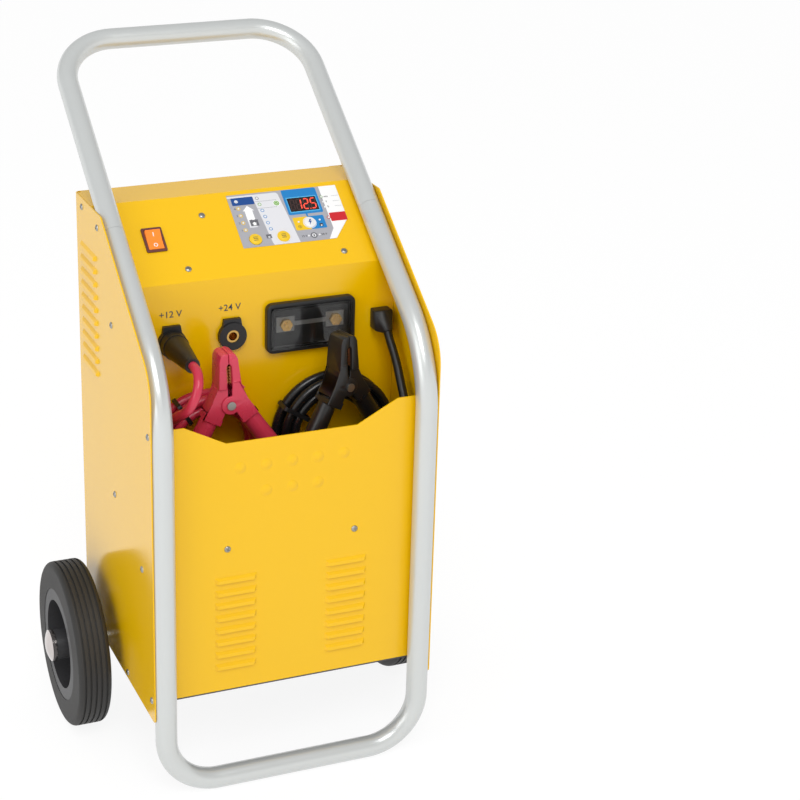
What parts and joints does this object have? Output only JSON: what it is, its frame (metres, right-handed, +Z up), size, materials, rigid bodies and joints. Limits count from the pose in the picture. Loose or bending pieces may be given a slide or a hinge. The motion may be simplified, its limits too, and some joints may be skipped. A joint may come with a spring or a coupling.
{
  "type": "wheeled battery charger",
  "caption": "Wheeled workshop battery charger and engine starter: folded-sheet case in a bent tube frame with leaning handle, control panel, sockets, coiled leads and clamps in a front pocket.",
  "frame": {"origin": "on the floor, under the middle of the frame tube's and case's bounding box", "axes": "+X right as one faces the front, +Y towards the back, +Z up"},
  "size_m": [0.4864, 0.4318, 0.81],
  "materials": {
    "frame_paint": "smooth silver-grey paint",
    "case_yellow": "glossy powder coat",
    "base_grey": "satin",
    "zinc": "zinc plated",
    "tyre": "moulded rubber",
    "rim": "moulded plastic",
    "chrome": "bright",
    "black_plastic": "fine grain",
    "orange_plastic": "gloss",
    "overlay": "printed film",
    "display": "gloss",
    "yellow_button": "satin",
    "white_button": "satin",
    "lamp": "gloss",
    "brass": "bright",
    "fuse_zinc": "dull",
    "clear_plastic": "clear",
    "black_rubber": "soft",
    "red_sheath": "glossy cable sheath",
    "red_plastic": "gloss",
    "black_sheath": "glossy cable sheath",
    "black_clamp": "gloss",
    "copper": "copper plated",
    "spring_steel": "bright",
    "core_steel": "laminated",
    "winding": "varnished",
    "heat_sink": "extruded",
    "board_green": "solder mask"
  },
  "bodies": {
    "charger": {"lower_frame": "frame_paint", "handle_tube": "frame_paint", "handle_spigots": "zinc", "left_side_panel": "case_yellow", "right_side_panel": "case_yellow", "fascia": "case_yellow", "rear_panel": "case_yellow", "base_plate": "base_grey", "pocket_front": "case_yellow", "pocket_floor": "case_yellow", "axle_brackets": "base_grey", "axle": "zinc", "axle_spacers": "zinc", "axle_caps": "chrome", "case_screws": "zinc", "rocker_bezel": "black_plastic", "panel_overlay": "overlay", "display_module": "display", "status_lights": "lamp", "socket_bodies": "black_plastic", "socket_inserts": "brass", "lead_plug": "black_plastic", "lead_plug_pin": "brass", "fuse_base": "black_plastic", "fuse_strip": "fuse_zinc", "fuse_nuts": "brass", "fuse_frame": "black_plastic", "mains_gland": "black_rubber", "mains_cable": "black_rubber", "mains_hank": "black_rubber", "mains_plug": "black_rubber", "cable_ties": "black_plastic", "lead_gland": "black_rubber", "red_lead": "red_sheath", "red_lead_coil": "red_sheath", "red_clamp_fixed": "red_plastic", "black_lead": "black_sheath", "black_lead_coil": "black_sheath", "black_clamp_fixed": "black_clamp", "fixed_jaws": "copper", "clamp_pins": "zinc", "clamp_springs": "spring_steel", "transformer_core": "core_steel", "transformer_windings": "winding", "rectifier": "heat_sink", "rectifier_bracket": "zinc", "control_board": "board_green"},
    "left_wheel": {"left_tyre": "tyre", "left_rim": "rim"},
    "right_wheel": {"right_tyre": "tyre", "right_rim": "rim"},
    "rocker": {"power_rocker": "orange_plastic"},
    "charge_key": {"charge_button": "yellow_button"},
    "timer_key": {"timer_button": "yellow_button"},
    "start_key": {"start_button": "white_button"},
    "red_jaw": {"red_clamp_moving": "red_plastic", "red_moving_jaw": "copper"},
    "black_jaw": {"black_clamp_moving": "black_clamp", "black_moving_jaw": "copper"},
    "fuse_lid": {"fuse_cover": "clear_plastic"}
  },
  "joints": [
    {"name": "left_wheel_spin", "type": "hinge", "parent": "charger", "child": "left_wheel", "pos_m": [-0.2112, 0.00464, 0.1], "axis": [1, 0, 0], "continuous": true},
    {"name": "right_wheel_spin", "type": "hinge", "parent": "charger", "child": "right_wheel", "pos_m": [0.2112, 0.00464, 0.1], "axis": [1, 0, 0], "continuous": true},
    {"name": "rocker_switch", "type": "hinge", "parent": "charger", "child": "rocker", "pos_m": [-0.108, -0.02508, 0.61051], "axis": [1, 0, 0], "range_deg": [-16, 0]},
    {"name": "red_clamp_hinge", "type": "hinge", "parent": "charger", "child": "red_jaw", "pos_m": [-0.055, -0.12736, 0.448], "axis": [0, -1, 0], "range_deg": [0, 20], "stiffness_Nm_per_rad": 2, "springref_deg": -8.59},
    {"name": "black_clamp_hinge", "type": "hinge", "parent": "charger", "child": "black_jaw", "pos_m": [0.082, -0.13636, 0.454], "axis": [-0.2588, 0.9659, 0], "range_deg": [0, 20], "stiffness_Nm_per_rad": 2, "springref_deg": -8.59},
    {"name": "fuse_lid_pull", "type": "slide", "parent": "charger", "child": "fuse_lid", "axis": [0, -1, 0], "range_m": [0, 0.02]},
    {"name": "charge_press", "type": "slide", "parent": "charger", "child": "charge_key", "axis": [0, 0.5878, -0.809], "range_m": [0, 0.0012], "stiffness_N_per_m": 600, "springref_m": -0.0005},
    {"name": "timer_press", "type": "slide", "parent": "charger", "child": "timer_key", "axis": [0, 0.5878, -0.809], "range_m": [0, 0.0012], "stiffness_N_per_m": 600, "springref_m": -0.0005},
    {"name": "start_press", "type": "slide", "parent": "charger", "child": "start_key", "axis": [0, 0.5878, -0.809], "range_m": [0, 0.0012], "stiffness_N_per_m": 600, "springref_m": -0.0005}
  ]
}
